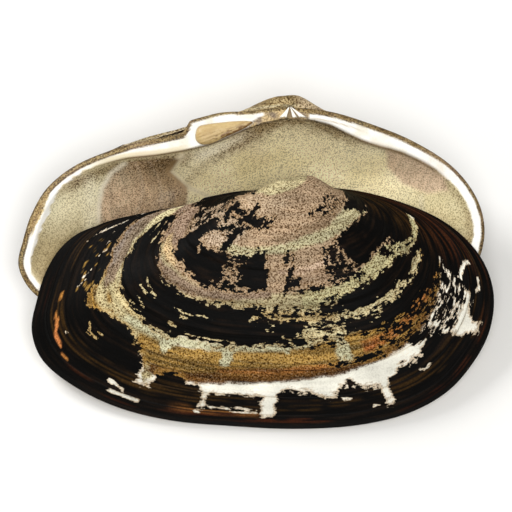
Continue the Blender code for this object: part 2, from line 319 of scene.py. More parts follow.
# Where the dark skin is left on the outer side. Each patch has how full it is, how ragged its edge is, and
# its corners, each as a bearing in degrees and a growth in hundredths.
SKIN = (
    # the belt along the lower margin, with the blocks of the lower rear corner
    (1, 0.5, -90, 106, -90, 73, -78, 72, -70.5, 73.5, -64, 73.5, -62, 78, -60, 79.3, -58, 78, -54, 106),
    (1, 0.5, -60, 106, -60, 79.3, -57.5, 76.5, -55.5, 74, -50, 74, -46, 76, -43.5, 78, -42, 81, -40.8, 85,
     -40.2, 89, -38, 91, -38, 106),
    (1, 0.5, -42, 106, -40, 90, -36.6, 88.5, -37.4, 83.5, -34, 81.8, -31, 83, -30, 85, -27, 85, -25.6, 88,
     -25.2, 93.4, -23.2, 93.4, -23, 87.5, -10.2, 87.5, -10, 95, -6.5, 95, -6, 85.4, -5, 84.8, 3, 85.3, 7, 88,
     8.5, 88.5, 10, 86.5, 12, 83, 14, 82, 15.5, 85, 21, 86.5, 21.4, 90, 20.8, 94.5, 23.4, 95, 23.6, 88,
     24.6, 84.2, 28, 82.5, 31, 82, 35, 83, 37, 80, 40, 79, 42, 81.5, 44, 83.5, 46, 87.5, 48.8, 93, 50.4, 95.5,
     52.8, 95, 51.4, 91, 53, 88.5, 57, 88, 57.6, 86, 57, 82, 59, 80, 90, 80, 90, 106),
    # the belt round the middle
    (1, 0.7, -75, 52, -70, 52.5, -62, 53.5, -58, 55, -50, 56.5, -40, 57.3, -30, 57, -20, 56.5, -17.8, 57,
     -18, 59, -20, 60.5, -17, 62, -14, 65, -12, 68.5, -24, 69.5, -34, 69, -44, 69.5, -50, 69, -56, 67.5,
     -62, 66, -66, 65.5, -72, 62, -75, 58),
    (0.5, 1.3, -20, 60.5, -9, 60, -8, 68.5, -16, 69),
    (1, 0.8, -10, 65.5, -9.5, 60.5, -4, 60, 1, 60.2, 0.5, 65.5),
    (0.4, 1.3, -12, 65.5, 2, 65.5, 2, 69, -4, 69),
    (-0.15, 1.3, 2, 62.4, 16, 62.4, 16, 67.6, 2, 68.8),
    (0.5, 1.2, 16, 61.4, 30, 61, 30, 66, 16, 66.4),
    (0.15, 1.2, -18, 57.3, -8, 57.4, 4, 56.4, 14, 55.6, 14, 58.6, 4, 58.9, -8, 59.5, -18, 59.2),
    (0.3, 1.4, 0, 60.9, 14, 60.8, 26, 60.8, 34, 60.4, 32, 62.6, 16, 62.6, 2, 62.8),
    (0.2, 1.4, 8, 54.4, 16, 53.4, 24, 52.5, 24, 58.5, 8, 58.7),
    (1, 0.7, 14, 54.2, 20, 52.6, 30, 51.6, 38, 51, 46, 51.5, 50, 53, 54, 55, 57, 58.2, 47, 59.5, 40, 58.5,
     30, 59.2, 24, 59, 16, 57.5),
    (1, 0.8, 28, 61.5, 34, 60.6, 44, 60.2, 52, 61.8, 62, 62.5, 64, 73, 56, 71, 50, 70, 44, 69, 36, 67,
     30, 66.4),
    # above the middle belt
    (1, 0.8, -60, 45, -60, 34, -54.8, 33.5, -54.5, 41, -50, 42.5, -47, 42, -43, 40, -38.5, 42, -37.5, 50,
     -38, 52, -42, 52, -48, 51, -55, 49.7, -60, 49),
    (0.1, 1.4, -39, 41.5, -29, 40.5, -29, 51, -39, 51.5),
    (1, 0.8, -30, 40.5, -28, 38.5, -23, 39, -20, 43, -18, 46, -17, 50, -26, 51.3, -30, 51),
    (0.9, 0.9, -8.6, 50.8, -4, 50.4, -0.5, 48.8, -1, 47, -5, 46.2, -8.4, 46.8),
    (0.7, 0.9, -8, 46.8, -4.6, 46.8, -5.4, 42.8, -7.6, 42.8),
    (0.9, 0.9, -11, 40.8, -8, 41.4, -5.6, 40.2, -6.4, 37.8, -10, 37.6),
    (0.7, 0.6, -8, 51.2, 2, 50.6, 11, 49.7, 11, 49, 2, 49.7, -8, 50.1),
    (0, 1.5, -72, 42, -63, 42.5, -60, 38, -66, 35.5, -71, 38),
    (0.9, 0.7, -45.6, 42, -45.4, 33, -42.4, 33, -42.2, 42),
    (0.9, 0.7, -46.6, 24, -42.8, 24, -42.4, 31, -45.4, 31),
    (0.9, 0.7, -59.4, 26.6, -54.2, 26.4, -54.4, 31.4, -58, 31.6),
    (0.6, 0.9, -56, 27.4, -46, 28.4, -36, 29.2, -30, 28.4, -25, 28, -25, 30, -33, 30.8, -44, 31.2, -56, 29.4),
    (-0.1, 1.4, -70, 29.4, -56, 29.6, -56, 34, -70, 32),
    (0, 1.3, -56, 30, -40, 31, -40, 36, -54, 36),
    (0.1, 1.5, 13, 38, 28, 35.5, 31, 48.4, 13, 49),
    (1, 0.6, 24, 35.4, 30, 33.8, 40, 33, 48, 32.6, 53, 33.2, 56, 34.6, 61.5, 36, 66, 36, 72, 60, 64, 58,
     60, 54, 57, 50, 52, 46.8, 44, 44.5, 40, 45.4, 30, 45.4, 26, 43),
    (0.1, 1.4, 42, 44, 53, 46, 60, 53, 52, 51, 46, 49),
    # the front slope, and the slope behind the beak
    (1, 0.5, 61, 35.5, 90, 34, 90, 106, 57.5, 106, 58, 80, 58.5, 73, 61, 72, 59, 62, 56, 57.5, 57, 50),
    (1, 0.6, 41, 27.2, 46, 25.4, 50, 25, 57, 23.6, 64, 23.4, 72, 26, 90, 30, 90, 40, 61, 35.8, 55.5, 32.6,
     52, 31, 50, 28.6),
    (0.12, 1.5, 33, 74, 44, 73, 61, 72, 61, 83, 52, 84.5, 43, 82, 36, 78),
    (0.6, 0.7, 9, 75.3, 18, 74.7, 27, 73.9, 27, 74.7, 18, 75.4, 10, 76),
    (0.1, 1.5, 26, 65.5, 36, 65, 50, 66, 62, 68, 62, 74.5, 50, 73.5, 40, 74.4, 28, 75),
    # on the slope behind the beak this dark patch is skin and painted shade of that slope in one
    (1, 0.6, -90, 20, -76, 20.5, -72, 23, -70.6, 26, -70.2, 36, -72.5, 42, -75.5, 45, -78, 50, -79, 58,
     -90, 64),
    (0.3, 0.9, -73, 22, -62, 20.4, -55, 20, -55, 21.2, -66, 22.4),
    (0.5, 0.9, 4, 26.8, 14, 25.4, 24, 23.4, 24, 22.6, 14, 24.4, 4, 26),
    (-0.05, 1.4, 18, 26.4, 30, 25, 42, 24, 40, 20, 26, 19.5),
)
# Where it is lost from inside a patch: half the width in degrees, then a line given in the same way.
LOST = (
    (0.3, 51, 48.8, 56, 52.8, 62, 57.8), (0.25, 54, 53.6, 60, 58.2, 66, 62.2), (0.6, 64, 60, 68, 63),
    (0.9, 68, 63, 72, 66.6, 73.2, 68.6), (0.25, 48, 59.6, 53, 60.6, 60, 62),
    (0.45, 59.4, 82, 62, 83.4, 64, 86, 65, 88.5), (0.35, 58.6, 90.4, 60, 91.6, 62, 91.6),
    (0.3, 32.6, 86.4, 34, 87.4, 35.6, 86.8), (0.25, 11.2, 88.6, 13.2, 88.8), (0.2, 12.4, 85, 12.8, 83.8),
    (0.2, 14.6, 84.6, 14.2, 83.4), (0.2, 18.2, 92.8, 19.8, 93.2), (0.18, -23, 92.6, -16, 92.4, -11, 93),
    (0.14, -17, 94.2, -11, 93.6), (0.35, -25.2, 94.6, -24.4, 95.2), (0.4, -43, 95, -37.2, 95.2),
    (0.3, -44.4, 91.6, -41, 92.8), (0.05, -57.6, 88.2, -57, 87.6), (0.08, -56.4, 80.4, -55, 81.8),
    (0.08, -54.6, 80, -52.4, 80.2), (0.08, -55, 82.6, -52.6, 82.2), (0.08, -67.4, 79.4, -66.4, 82),
    (0.08, -66, 79.8, -64.8, 83), (0.08, -70.8, 75.4, -70, 78.6), (0.03, -73, 76, -71.6, 78.5),
    (0.05, -75.6, 78, -74.6, 80), (0.08, -76.8, 84, -75, 88), (0.1, -78.6, 76, -77.4, 81, -76.4, 84),
    (0.2, -72.6, 55, -69, 56, -66.4, 57.4), (0.1, -73, 57.4, -69.4, 59.4),
    (0.1, -56.6, 59.4, -53, 60.6, -50.4, 61.6), (0.08, -56, 61.8, -52, 62.6), (0.08, -54.4, 64.2, -50.4, 66),
    (0.08, -44.4, 61.6, -40, 62.4, -36, 61.4, -31.8, 62), (0.15, -41, 63.6, -38.8, 63.4),
    (0.2, -43, 66.4, -40, 67.2), (0.1, -37, 68.6, -30, 68.2, -22, 68.6), (0.2, -53, 43, -51, 44.4),
    (0.38, 10, 59.7, 18, 59.5, 26, 59.2, 34, 59, 40, 59.3, 44.5, 59.7),
)


def skin_field(q, g, seed):
    """Where the skin is left, by bearing q and growth g: positive inside it, and how ragged its edge is."""
    v = g * SPREAD
    ragged = 0.7 * noise(q / 3.6, g / 0.013, seed, 3) + 0.45 * noise(q / 1.7, g / 0.03, seed + 9, 2)
    field = np.full(q.shape, -2.0)
    rough = np.full(q.shape, 0.4)
    for full, strength, *corners in SKIN:
        places = np.reshape(corners, (-1, 2)) * (1, SPREAD / 100)
        depth = np.clip(inside_depth(q, v, places) / 1.5, -2, full * 1.3)
        patch = depth + 0.15 + min(strength, 0.8) * ragged
        rough = np.where((patch > field) | (depth > 0), np.where(depth > -0.6, strength, rough), rough)
        field = np.maximum(field, patch)
    for half, *line in LOST:
        gap = line_gap(q, v, np.reshape(line, (-1, 2)) * (1, SPREAD / 100))
        field = np.minimum(field, (gap - half) / 0.55 + 0.3 * ragged)
        rough = np.where(gap < half + 0.8, np.maximum(rough, 0.7), rough)
    return np.clip(field, -2, 1.6), rough


# The orange streak at the rear end: bearings, and growths times SPREAD.
ORANGE_LINE = ((-65.5, 53.4), (-61, 54.2), (-58, 55), (-53, 56.2))
DRIP = (214, 210, 172)  # the pale drips below the middle belt
# Strokes of colour on the bare outer side, from the beak outwards: the colour, its strength, then bearings in
# degrees, each with the two growths, in hundredths, that the stroke lies between there.
STROKES = (
    ((214, 202, 156), 0.9, -90, 0, 24, -60, 0, 21.5, -40, 0, 19, -20, 0, 16, 0, 0, 12),
    ((210, 184, 152), 0.7, -62, 21, 27, -40, 20, 27, -20, 19, 24),
    ((160, 134, 104), 0.8, -20, 33.6, 35.6, 0, 30.5, 33.4, 20, 26, 29.8, 42, 22, 26.6),
    ((216, 192, 164), 0.8, -78, 30, 43, -62, 31, 42, -50, 31, 41, -40, 32, 39),
    ((206, 198, 156), 0.95, -46, 38.5, 41, -38, 38, 41.5, -20, 36.4, 39.4, 0, 33.8, 37.2, 20, 30.2, 34,
     30, 28.4, 33, 40, 27, 32.6, 50, 27, 33, 62, 33, 36.5),
    ((174, 146, 118), 0.6, -8, 45.5, 49.5, 10, 44, 48.5, 26, 40, 46),
    ((222, 194, 168), 0.7, -13, 44, 45.4, 0, 43, 44.8, 10, 41, 42.8, 19, 38.8, 40.2),
    ((166, 140, 120), 0.8, -82, 42, 56, -70, 43, 54, -64, 44.5, 52, -60, 46, 49),
    ((198, 184, 142), 1, -64, 52, 57, -50, 52.5, 58, -40, 53, 58, -20, 52.5, 58, 0, 51, 57, 10, 50, 56),
    ((198, 190, 144), 1, 0, 51, 57, 10, 50, 56, 20, 49, 54, 30, 47, 53, 40, 46, 52, 50, 47, 53.5, 58, 52, 57.5,
     64, 57, 62, 70, 60, 66, 76, 63, 72),
    ((152, 126, 108), 0.85, -62, 53.5, 57, -50, 53, 57, -42, 53, 56.4, -30, 52.4, 55, -14, 51.6, 53.4),
    ((228, 198, 148), 0.9, -66, 49.5, 51.5, -60, 49, 52.8, -54, 50.6, 52),
    ((196, 164, 104), 0.6, -19, 57.6, 61, 0, 57.4, 61, 14, 58, 60.6),
    ((208, 192, 144), 1, -66, 68, 75, -58, 67.5, 84, -50, 68, 84, -46, 69, 80, -42, 69, 80, -38, 69, 90),
    ((150, 126, 108), 0.85, -80, 62, 74, -70, 65, 74.5, -65, 67, 73.5, -61.4, 68.6, 72),
    ((188, 142, 58), 0.9, -63, 74.6, 77.4, -60, 75.4, 80.5, -57, 75, 77.4),
    ((188, 142, 58), 0.9, -60, 70.8, 72.2, -57.4, 70.6, 72.2),
    ((182, 144, 74), 1, -47, 73.4, 74.6, -42, 73.6, 81, -38, 73, 84, -30, 72.4, 83.4, -20, 71, 82.6,
     -10, 70, 81.6, 0, 69, 80.4, 10, 67.4, 79, 20, 65.4, 77.4, 30, 64, 76, 40, 62, 74.4, 50, 62, 73.4,
     62, 62, 71),
    ((204, 124, 62), 0.6, -24, 78.6, 80, -8, 76.8, 79, 8, 75, 77.6, 14, 74.8, 76),
    ((204, 112, 58), 0.6, 20, 71.4, 73.6, 30, 68.6, 72, 40, 66.6, 70, 50, 66, 69, 58, 66, 68.4),
    ((168, 92, 44), 0.6, 20, 69, 73, 34, 68, 72, 50, 67, 71, 62, 66, 70),
    ((106, 66, 26), 0.9, -40, 81.4, 84.4, -30, 80.4, 84, -20, 80, 83, 0, 77.8, 81, 20, 75, 78, 35, 73, 76,
     50, 71.4, 74),
    (DRIP, 1, -52, 70, 72.4, -40, 70, 73, -30, 69.6, 72.4, -20, 69, 71.6, -8, 68.6, 70.6, 4, 68, 69.4),
    (DRIP, 1, -41.4, 72, 74, -39.6, 72, 77, -38.4, 72, 77, -37.6, 72, 74),
    (DRIP, 1, -25, 71, 72, -23.6, 71, 77.4, -21.8, 71, 77.4, -20.4, 71, 72),
    (DRIP, 1, -6.6, 69, 70, -5.4, 69, 71.8, -4.4, 69, 71.8, -3.4, 69, 70),
    (DRIP, 1, 11.6, 66, 74, 12.8, 65, 75.4, 14.6, 65, 75.8, 16.2, 73.4, 75.6),
)


def chalk_colour(q, g, x, y, seed):
    """The bare outer side's colour: oblique bands of pink, cream and mauve, and a golden belt."""
    waver = g + 0.005 * noise(q / 14, g * 9, seed + 3, 2) + 0.0035 * noise(q / 2.2, g / 0.02, seed + 4, 2)
    aside = q + 0.5 * noise(q / 2, g / 0.015, seed + 7, 2)
    base = mix(rgb(192, 164, 132), rgb(214, 202, 158), ease(waver, 0.54, 0.57))
    base = mix(base, rgb(250, 247, 232), ease(waver, 0.68, 0.71))
    threads = noise(q / 13, g / 0.0065, seed + 26, 3)
    for tone, strength, *rows in STROKES:
        at, low, high = np.reshape(rows, (-1, 3)).T
        low, high = np.interp(aside, at, low) / 100, np.interp(aside, at, high) / 100
        weight = plateau(waver, low - 0.006, low + 0.006, high - 0.006, high + 0.006)
        weight = weight * plateau(aside, at[0] - 0.9, at[0] + 0.9, at[-1] - 0.9, at[-1] + 0.9)
        tint = rgb(*tone)
        if tone[2] < 80:  # gold and rust have light and dark threads
            threaded = 0.35 * ease(threads, -0.2, 0.6) - 0.62 * ease(-threads, -0.1, 0.6)
            tint = tint * (1 + threaded)[..., None]
        base = mix(base, tint, strength * weight)
    blotch = noise(x / 5, y / 3.5, seed + 5, 3)
    base = base * (1 + 0.18 * blotch)[..., None]
    lines = noise(q / 25, g / 0.007, seed + 6, 2)
    grooves = sum(bell(g, stop + 0.003, 0.0035) for stop, _ in STOPS)
    base = base * (1 + 0.22 * lines * (1 - 0.75 * ease(base[..., 2], 0.25, 0.45)))[..., None]
    base = mix(base, base * rgb(176, 150, 112), 0.45 * np.clip(grooves, 0, 1))
    return base * (PIGMENT + (1 - PIGMENT) * ease(base[..., 1], 0.45, 0.75))[..., None]


def skin_colour(q, g, seed):
    """The skin's own colour: black brown, with gold, rust and ochre along the growth lines."""
    streak = noise(q / 11, g / 0.0075, seed + 21, 3)
    base = mix(rgb(6, 5, 4), rgb(30, 20, 12), ease(streak, 0.1, 0.9))
    gold = plateau(g, 0.84, 0.87, 0.965, 0.985) * ease(noise(q / 13, g / 0.0065, seed + 26, 3), 0.25, 0.75)
    base = mix(base, mix(rgb(150, 108, 48), rgb(168, 84, 40), ease(g, 0.92, 0.96)), 0.17 * gold)
    front = ease(q, 58, 70) * ease(g, 0.3, 0.45) * ease(streak, -0.1, 0.7)
    base = mix(base, mix(rgb(128, 90, 36), rgb(160, 84, 38), ease(g, 0.55, 0.85)), 0.18 * front)
    rust = ease(streak, 0.1, 0.5) * bell(g, 0.94, 0.012) * ease(-q, 8, 12) * ease(q, -32, -27)
    base = mix(base, rgb(200, 132, 64), 0.6 * rust)
    line, along = distance_to_line(q, g * SPREAD, ORANGE_LINE)
    orange = (0.1 + 0.45 * bell(along, 0.6, 0.22) - line) / 0.7 + 0.7 * noise(q / 1.7, g / 0.009, seed + 23, 3)
    tone = mix(rgb(206, 142, 66), rgb(234, 146, 84), bell(along, 0.6, 0.3))
    base = mix(base, tone, 0.95 * ease(orange, 0.05, 0.35))
    box = np.minimum.reduce([(q + 76) / 4, (-60 - q) / 4, (g - 0.72) / 0.03, (0.86 - g) / 0.03])
    ochre = np.minimum(box, 1) + 1.1 * noise(q / 1.2, g / 0.012, seed + 24, 3)
    return mix(base, rgb(190, 148, 72), 0.95 * ease(ochre, 1.5, 1.7))


def past_hinge(edge, x, y):
    """How far a point is past the hinge line, seen from inside the valve."""
    upper = edge[np.abs(bearing(edge)) > radians(62)]
    upper = upper[np.argsort(upper[:, 0])]
    return y - np.interp(x, upper[:, 0], upper[:, 1])


def outer_side(edge, growth, seed, side):
    """Points of the outer side, one row for each growth, and what its material reads there."""
    lines = growth_lines(edge, growth)
    x, y = lines[..., 0], lines[..., 1]
    q = np.broadcast_to(compass(edge), x.shape)
    g = np.broadcast_to(growth[:, None], x.shape)
    around = np.roll(lines, -1, axis=1) - np.roll(lines, 1, axis=1)
    outward = np.cross(around, np.gradient(lines, axis=0))
    outward /= np.maximum(length(outward), 1e-9)[..., None]
    ventral = ease(-y / g, 2, 12)
    ledges = sum(h * np.exp(np.minimum(g - stop, 0) / LEDGE_FADE) * (g <= stop) for stop, h in STOPS)
    ridge = RIDGE_RISE * bell(bearing(edge), RIDGE_AT, RIDGE_WIDTH) * (4 * g * (1 - 0.75 * g) - g**6 * 0.99)
    raised = ledges * ventral + np.maximum(ridge, 0)
    skin, rough = skin_field(q, g, seed)
    chalk = chalk_colour(q, g, x, y, seed)
    if side < 0:
        # what shows of the left valve past its hinge is bare and sepia
        past = past_hinge(edge, x, y)
        seen = ease(past, -0.9, 0.1) * ease(x, -52, -46)
        skin = skin - 3 * seen
        fleck = noise(x / 2.5, y / 0.8, seed + 36, 3)
        sepia = mix(rgb(190, 168, 122), rgb(132, 110, 68), ease(fleck, -0.5, 0.8))
        sepia = mix(sepia, rgb(226, 214, 176), 0.8 * bell(past, 0.55, 0.28) * bell(x, -2, 9))
        sepia = mix(sepia, rgb(220, 196, 158), 0.75 * plateau(x, 1, 4, 9, 13))
        chalk = mix(chalk, sepia, seen)
    chalk = mix(chalk, rgb(52, 38, 20), ease(g, 0.988, 0.998))
    # fine growth lines, the raised edge of the skin, the worn beak and its pits
    skinned = ease(skin, -0.05, 0.22)
    wavy = g + 0.0022 * noise(q / 7, g * 12, seed + 31, 2)
    fine = 0.075 * noise(q / 60, wavy / 0.011, seed + 32) + 0.05 * noise(q / 40, wavy / 0.0048, seed + 33)
    lip = 0.12 * bell(skin, 0.16, 0.16)
    worn = 0.12 * noise(x / 1.6, y / 1.2, seed + 34, 3) * (1 - ease(g, 0.25, 0.5))
    pits = -0.16 * ease(noise(q / 1.3, g / 0.02, seed + 35, 2), 0.55, 0.9) * (1 - skinned)
    detail = fine * (1 - 0.35 * skinned) + 0.2 * skinned + lip + worn + pits
    fade = ease(1 - g, 0, 0.012) * 0.8 + 0.2
    points = lines + outward * (raised + detail * ventral * fade)[..., None]
    film = skin_colour(q, g, seed)
    return points, dict(skin=skin, rough=rough, growth=g, compass=q, chalk=chalk, film=film)


# ---- the inner side

REAR_SCAR = (
    (-38, -13.8), (-41.5, -16.5), (-43.8, -20), (-44.6, -24), (-44.4, -29), (-40, -34), (-28, -32), (-24, -26),
    (-23.6, -19.6), (-27.4, -16.1), (-25, -12.8), (-31, -13.2),
)
SCAR_EDGE = ((-44.9, -28), (-44.8, -24), (-44, -20), (-41.8, -16.4), (-38.6, -14.2))
SCAR_TIP = ((-25, -12.2), (-28, -15.8), (-24.2, -19.4), (-18.5, -22))
FRONT_SCAR = (
    (23.5, -10), (28, -11.2), (33, -13.6), (37.5, -17.4), (38.5, -20.6), (33.5, -21.5), (27.5, -19),
    (23.8, -15),
)
HINGE_SHADE = (
    (-7.6, -3.7), (-5.6, -2.7), (-5.4, -1), (2, -0.2), (5.5, -1.3), (5.4, -4), (-4.8, -4.4), (-8, -6),
    (-11, -7.4),
)
FOLD = ((-1, -4.2), (-6, -6.6), (-11, -9.6), (-17, -12.6), (-22, -16.4), (-28, -24))
PALLIAL = ((-30, -33), (-38, -38), (-30, -45), (-10, -48.5), (10, -47.5), (25, -42), (33, -32), (32, -22))
# Along the margin: the strip's width by x, and by -y how far inside the white line runs, and half its width.
STRIP_WIDTH = ((-60, -25, -21.5, 2, 5, 20, 32, 40), (1.3, 1.4, 0.75, 0.75, 1.3, 1.25, 1.1, 0.8))
WHITE_LINE = (
    (10, 17.5, 20.5, 24, 26, 28, 29.5, 31.5, 35, 38, 44), (1.9, 1.5, 1.8, 2.5, 2.9, 3, 2.6, 2.4, 2.2, 2, 1.8),
)
WHITE_HALF = ((12, 20, 24, 27, 28.5, 30, 35, 40, 45), (0.5, 0.6, 0.7, 0.8, 0.8, 0.6, 0.8, 0.6, 0.4))


# The inner side's colour, in four steps: gap is the distance inside the land, rim the distance from the
# margin, ragged a noise that breaks up edges, and stipple how strong the grain of dots is.


def nacre_colour(x, y, gap, ragged, seed):
    """The hollow: cream nacre, and painted shade along the fold, under the hinge and along the edge."""
    soft = noise(x / 9, y / 7, seed + 41, 3)
    nacre = mix(rgb(252, 240, 198), rgb(236, 222, 174), ease(soft, -0.6, 0.8))
    nacre = mix(nacre, rgb(182, 162, 116), 0.9 * ease(-y, 22, 36))
    # painted light: brighter towards the middle of the hollow, to lift the shade that falls there under the
    # hinge
    nacre = nacre * (0.94 + 0.26 * plateau(x, -28, -20, 22, 36) * ease(gap, 0.5, 3))[..., None]
    # painted shade along the fold of the hollow
    crease_shade = 0.75 * bell(line_gap(x, y, FOLD) + 0.5 * ragged, 0, 1.1)
    crease_shade = crease_shade * ease(-x, -1, 6) * (1 - 0.5 * ease(-x, 13, 20))
    nacre = mix(nacre, rgb(162, 138, 98), crease_shade)
    pale = plateau(x, -25, -19, -10, -4) * bell(gap, 1.9, 1.7)
    nacre = mix(nacre, rgb(252, 242, 214), 0.8 * pale * (1 - crease_shade))
    under = plateau(x, -16, -6, 10, 22) * np.exp(-np.maximum(gap - 1 + 0.8 * ragged, 0) / 1.9)
    nacre = mix(nacre, rgb(150, 122, 76), 0.85 * under)
    brim = ease(-x, 20, 27) * bell(gap, 1.6 + 0.7 * ragged, 2.2) * (1 - ease(-y, 18, 24))
    brim += 0.35 * ease(x, 20, 30) * bell(gap, 0.8, 1.2) * (1 - 0.8 * plateau(x, 22, 25, 36, 39))
    nacre = mix(nacre, rgb(152, 128, 84), 0.85 * np.clip(brim, 0, 1))
    nacre = mix(nacre, rgb(252, 242, 206), 0.85 * bell(x, -46.8, 1.6) * ease(-y, 15, 20))
    return nacre, 0.55 + 0.6 * np.clip(crease_shade + under + brim, 0, 1)


def scar_colour(nacre, stipple, x, y, seed):
    """Both muscle scars, the rear one with its pale edge and tip, and the pallial line."""
    depth = inside_depth(x, y, REAR_SCAR)
    scar = ease(depth, -0.2, 0.25)
    stria = noise((x + 35) / 0.5 + y * 0.3, y / 7, seed + 42, 2)
    tone = mix(rgb(162, 134, 94), rgb(220, 190, 156), ease(-y, 13.5, 20) * 0.45 + ease(-x, 28, 43) * 0.5)
    tone = tone * (1 + 0.26 * stria)[..., None]
    arcs = bell(x + 34.5 + 0.045 * (y + 20) ** 2, 0, 0.22) + bell(x + 30 + 0.04 * (y + 22) ** 2, 0, 0.18)
    tone = mix(tone, rgb(222, 198, 168), 0.8 * np.clip(arcs, 0, 1))
    tone = mix(tone, rgb(112, 86, 52), 0.7 * ease(x, -34, -29) * ease(y, -17.5, -14))
    nacre = mix(nacre, tone, scar * 0.97)
    pale = bell(line_gap(x, y, SCAR_EDGE), 0, 0.6)
    nacre = mix(nacre, rgb(252, 240, 214), 0.95 * pale)
    stipple = (stipple + 0.2 * scar) * (1 - 0.7 * pale)
    tip = line_gap(x, y, SCAR_TIP)
    nacre = mix(nacre, rgb(242, 230, 196), 0.95 * bell(tip, 0, 0.7) * ease(-depth, -0.6, 0.1))
    stria = noise((x - 0.4 * y) / 0.6, y / 8, seed + 43, 2)
    tone = rgb(222, 194, 164) * (1 + 0.15 * stria)[..., None]
    nacre = mix(nacre, tone, ease(inside_depth(x, y, FRONT_SCAR), -0.6, 0.9) * 0.9)
    nacre = mix(nacre, rgb(230, 220, 190), 0.5 * bell(line_gap(x, y, PALLIAL), 0, 0.7))
    return nacre, np.where(tip < 0.9, 0.2, stipple)


def land_colour(nacre, stipple, x, y, gap, rim, ragged, seed):
    """The white land, its creamy inner edge, the painted shade line under it and the shade by the teeth."""
    land = mix(rgb(255, 253, 246), rgb(244, 238, 222), ease(noise(x / 3, y / 3, seed + 44, 2), -0.3, 0.8))
    inside = ease(gap + 0.22 * ragged, -0.2, 0.25)
    colour = mix(land, nacre, inside)
    stipple = 0.08 * (1 - inside) + stipple * inside
    creamy = ease(gap, -1.5, -0.7) * (1 - ease(gap, 0.3, 1.8 - 0.8 * ease(x, -48, -40)))
    creamy = creamy * plateau(x, -63, -58, -26, -22)
    colour = mix(colour, rgb(222, 206, 164), 0.8 * creamy)
    # painted shade: a dark line where the land drops into the hollow, darkest under the hinge
    crease_shade = plateau(x, -50, -38, 34, 40) * bell(gap, 0.1, 0.3 + 0.2 * ease(x, 4, 10)) * ease(y, -20, -16)
    tone = mix(rgb(116, 92, 54), rgb(84, 62, 32), plateau(x, -28, -10, 10, 20))
    colour = mix(colour, tone, 0.9 * crease_shade)
    shade = ease(inside_depth(x, y, HINGE_SHADE) + 0.25 * ragged, -0.1, 0.25) * (1 - inside)
    tone = mix(rgb(206, 174, 112), rgb(120, 90, 46), ease(ragged, -0.3, 0.4))
    colour = mix(colour, tone, 0.9 * shade)
    line = bell(rim, 2.25, 0.16) * plateau(x, 5, 7, 14, 20)
    colour = mix(colour, rgb(176, 150, 108), 0.7 * line * (1 - inside))
    return colour, stipple * (1 - 0.5 * creamy) + 0.5 * shade


def margin_colour(colour, stipple, x, y, rim, ragged, seed):
    """The strip along the margin, and at the rear end a golden band and a white line behind it."""
    strip = np.interp(x, *STRIP_WIDTH) + 0.08 * ragged
    line, half = np.interp(-y, *WHITE_LINE), np.interp(-y, *WHITE_HALF)
    rear = ease(-x, 42, 50)
    white = rear * (1 - ease(np.abs(rim - line + 0.5 * ragged), half - 0.15, half + 0.2))
    colour = mix(colour, rgb(255, 252, 244), white)
    lines = noise(rim * 2.2, (x + y) / 30, seed + 45, 2)
    gold = mix(rgb(232, 206, 144), rgb(170, 140, 88), ease(lines, -0.3, 0.6))
    dots = noise(rim * 3, (x - y) / 6, seed + 46, 2)
    sepia = mix(rgb(166, 142, 92), rgb(124, 98, 54), ease(dots, -0.3, 0.7))
    sepia = mix(sepia, rgb(108, 84, 50), bell(rim, strip - 0.2, 0.22) * ease(-x, 20, 24))
    sepia = mix(sepia, rgb(118, 94, 56), 0.5 * ease(x, 4, 8))
    border = 1 - ease(rim, strip - 0.12, strip + 0.14)
    golden = ease(rim, 0.5, 0.8) * (1 - ease(rim + 0.25 * ragged, line - half - 0.2, line - half + 0.1))
    golden = golden * rear * plateau(-y, 18, 21, 29, 32)
    colour = mix(mix(colour, sepia, border), gold, golden)
    colour = mix(colour, rgb(88, 66, 34), 0.85 * (1 - ease(rim, 0.15, 0.45)))
    return colour, stipple * (1 - 0.8 * white) + 0.9 * np.maximum(border, golden)


def inner_side(edge, fine_edge, rows, seed):
    """Points of the inner side from the margin to the middle of the hollow, and what its material reads."""
    ahead = np.roll(edge, -1, axis=0) - np.roll(edge, 1, axis=0)
    inward = np.stack([ahead[:, 1], -ahead[:, 0]], axis=1)
    inward /= length(inward)[:, None]
    margin = growth_lines(edge, np.ones(1))[0, :, :2]
    land = edge[:, :2] + inward * edge[:, 2:3]
    across = np.linspace(0, 1, FLAT_ROWS)[:, None, None]
    down = (np.linspace(0, 1, rows - FLAT_ROWS + 1) ** 1.15)[1:, None, None] * 0.985
    plan = np.concatenate([margin + (land - margin) * across, land + (CAVITY_MIDDLE - land) * down])
    flat = plan.reshape(-1, 2)
    x, y = flat.T
    spread = length(flat[:, None] - fine_edge[:, :2])
    gap = (spread - fine_edge[:, 2]).min(axis=1)
    margin = growth_lines(fine_edge, np.ones(1))[0, :, :2]
    rim = length(flat[:, None] - margin).min(axis=1)
    depth = cavity_depth(fine_edge, flat, gap)
    depth += 0.22 * ease(inside_depth(x, y, REAR_SCAR), -0.2, 0.5)
    depth += 0.2 * ease(inside_depth(x, y, FRONT_SCAR), -0.2, 0.6)
    depth -= 0.55 * bell(line_gap(x, y, FOLD), 0, 2.2) * ease(gap, 0.5, 3)
    depth += 0.1 * bell(line_gap(x, y, PALLIAL), 0, 0.5)
    swell = 0.12 * noise(x / 8, y / 6, seed + 51, 2) + 0.03 * noise(x / 1.2, y / 1.2, seed + 52, 2)
    depth += swell * ease(gap, 0, 2)
    depth += 0.28 * (1 - ease(rim, 0, 0.9)) - 0.09 * bell(rim, 1.15, 0.25)
    shape = plan.shape[:2]
    ragged = noise(x / 1.3, y / 1.3, seed + 47, 3)
    chalk, stipple = nacre_colour(x, y, gap, ragged, seed)
    chalk, stipple = scar_colour(chalk, stipple, x, y, seed)
    chalk, stipple = land_colour(chalk, stipple, x, y, gap, rim, ragged, seed)
    chalk, stipple = margin_colour(chalk, stipple, x, y, rim, ragged, seed)
    points = np.column_stack([flat, depth]).reshape(*shape, 3)
    return points, {"rough": stipple.reshape(shape), "chalk": chalk.reshape(*shape, 3)}


# ---- meshes


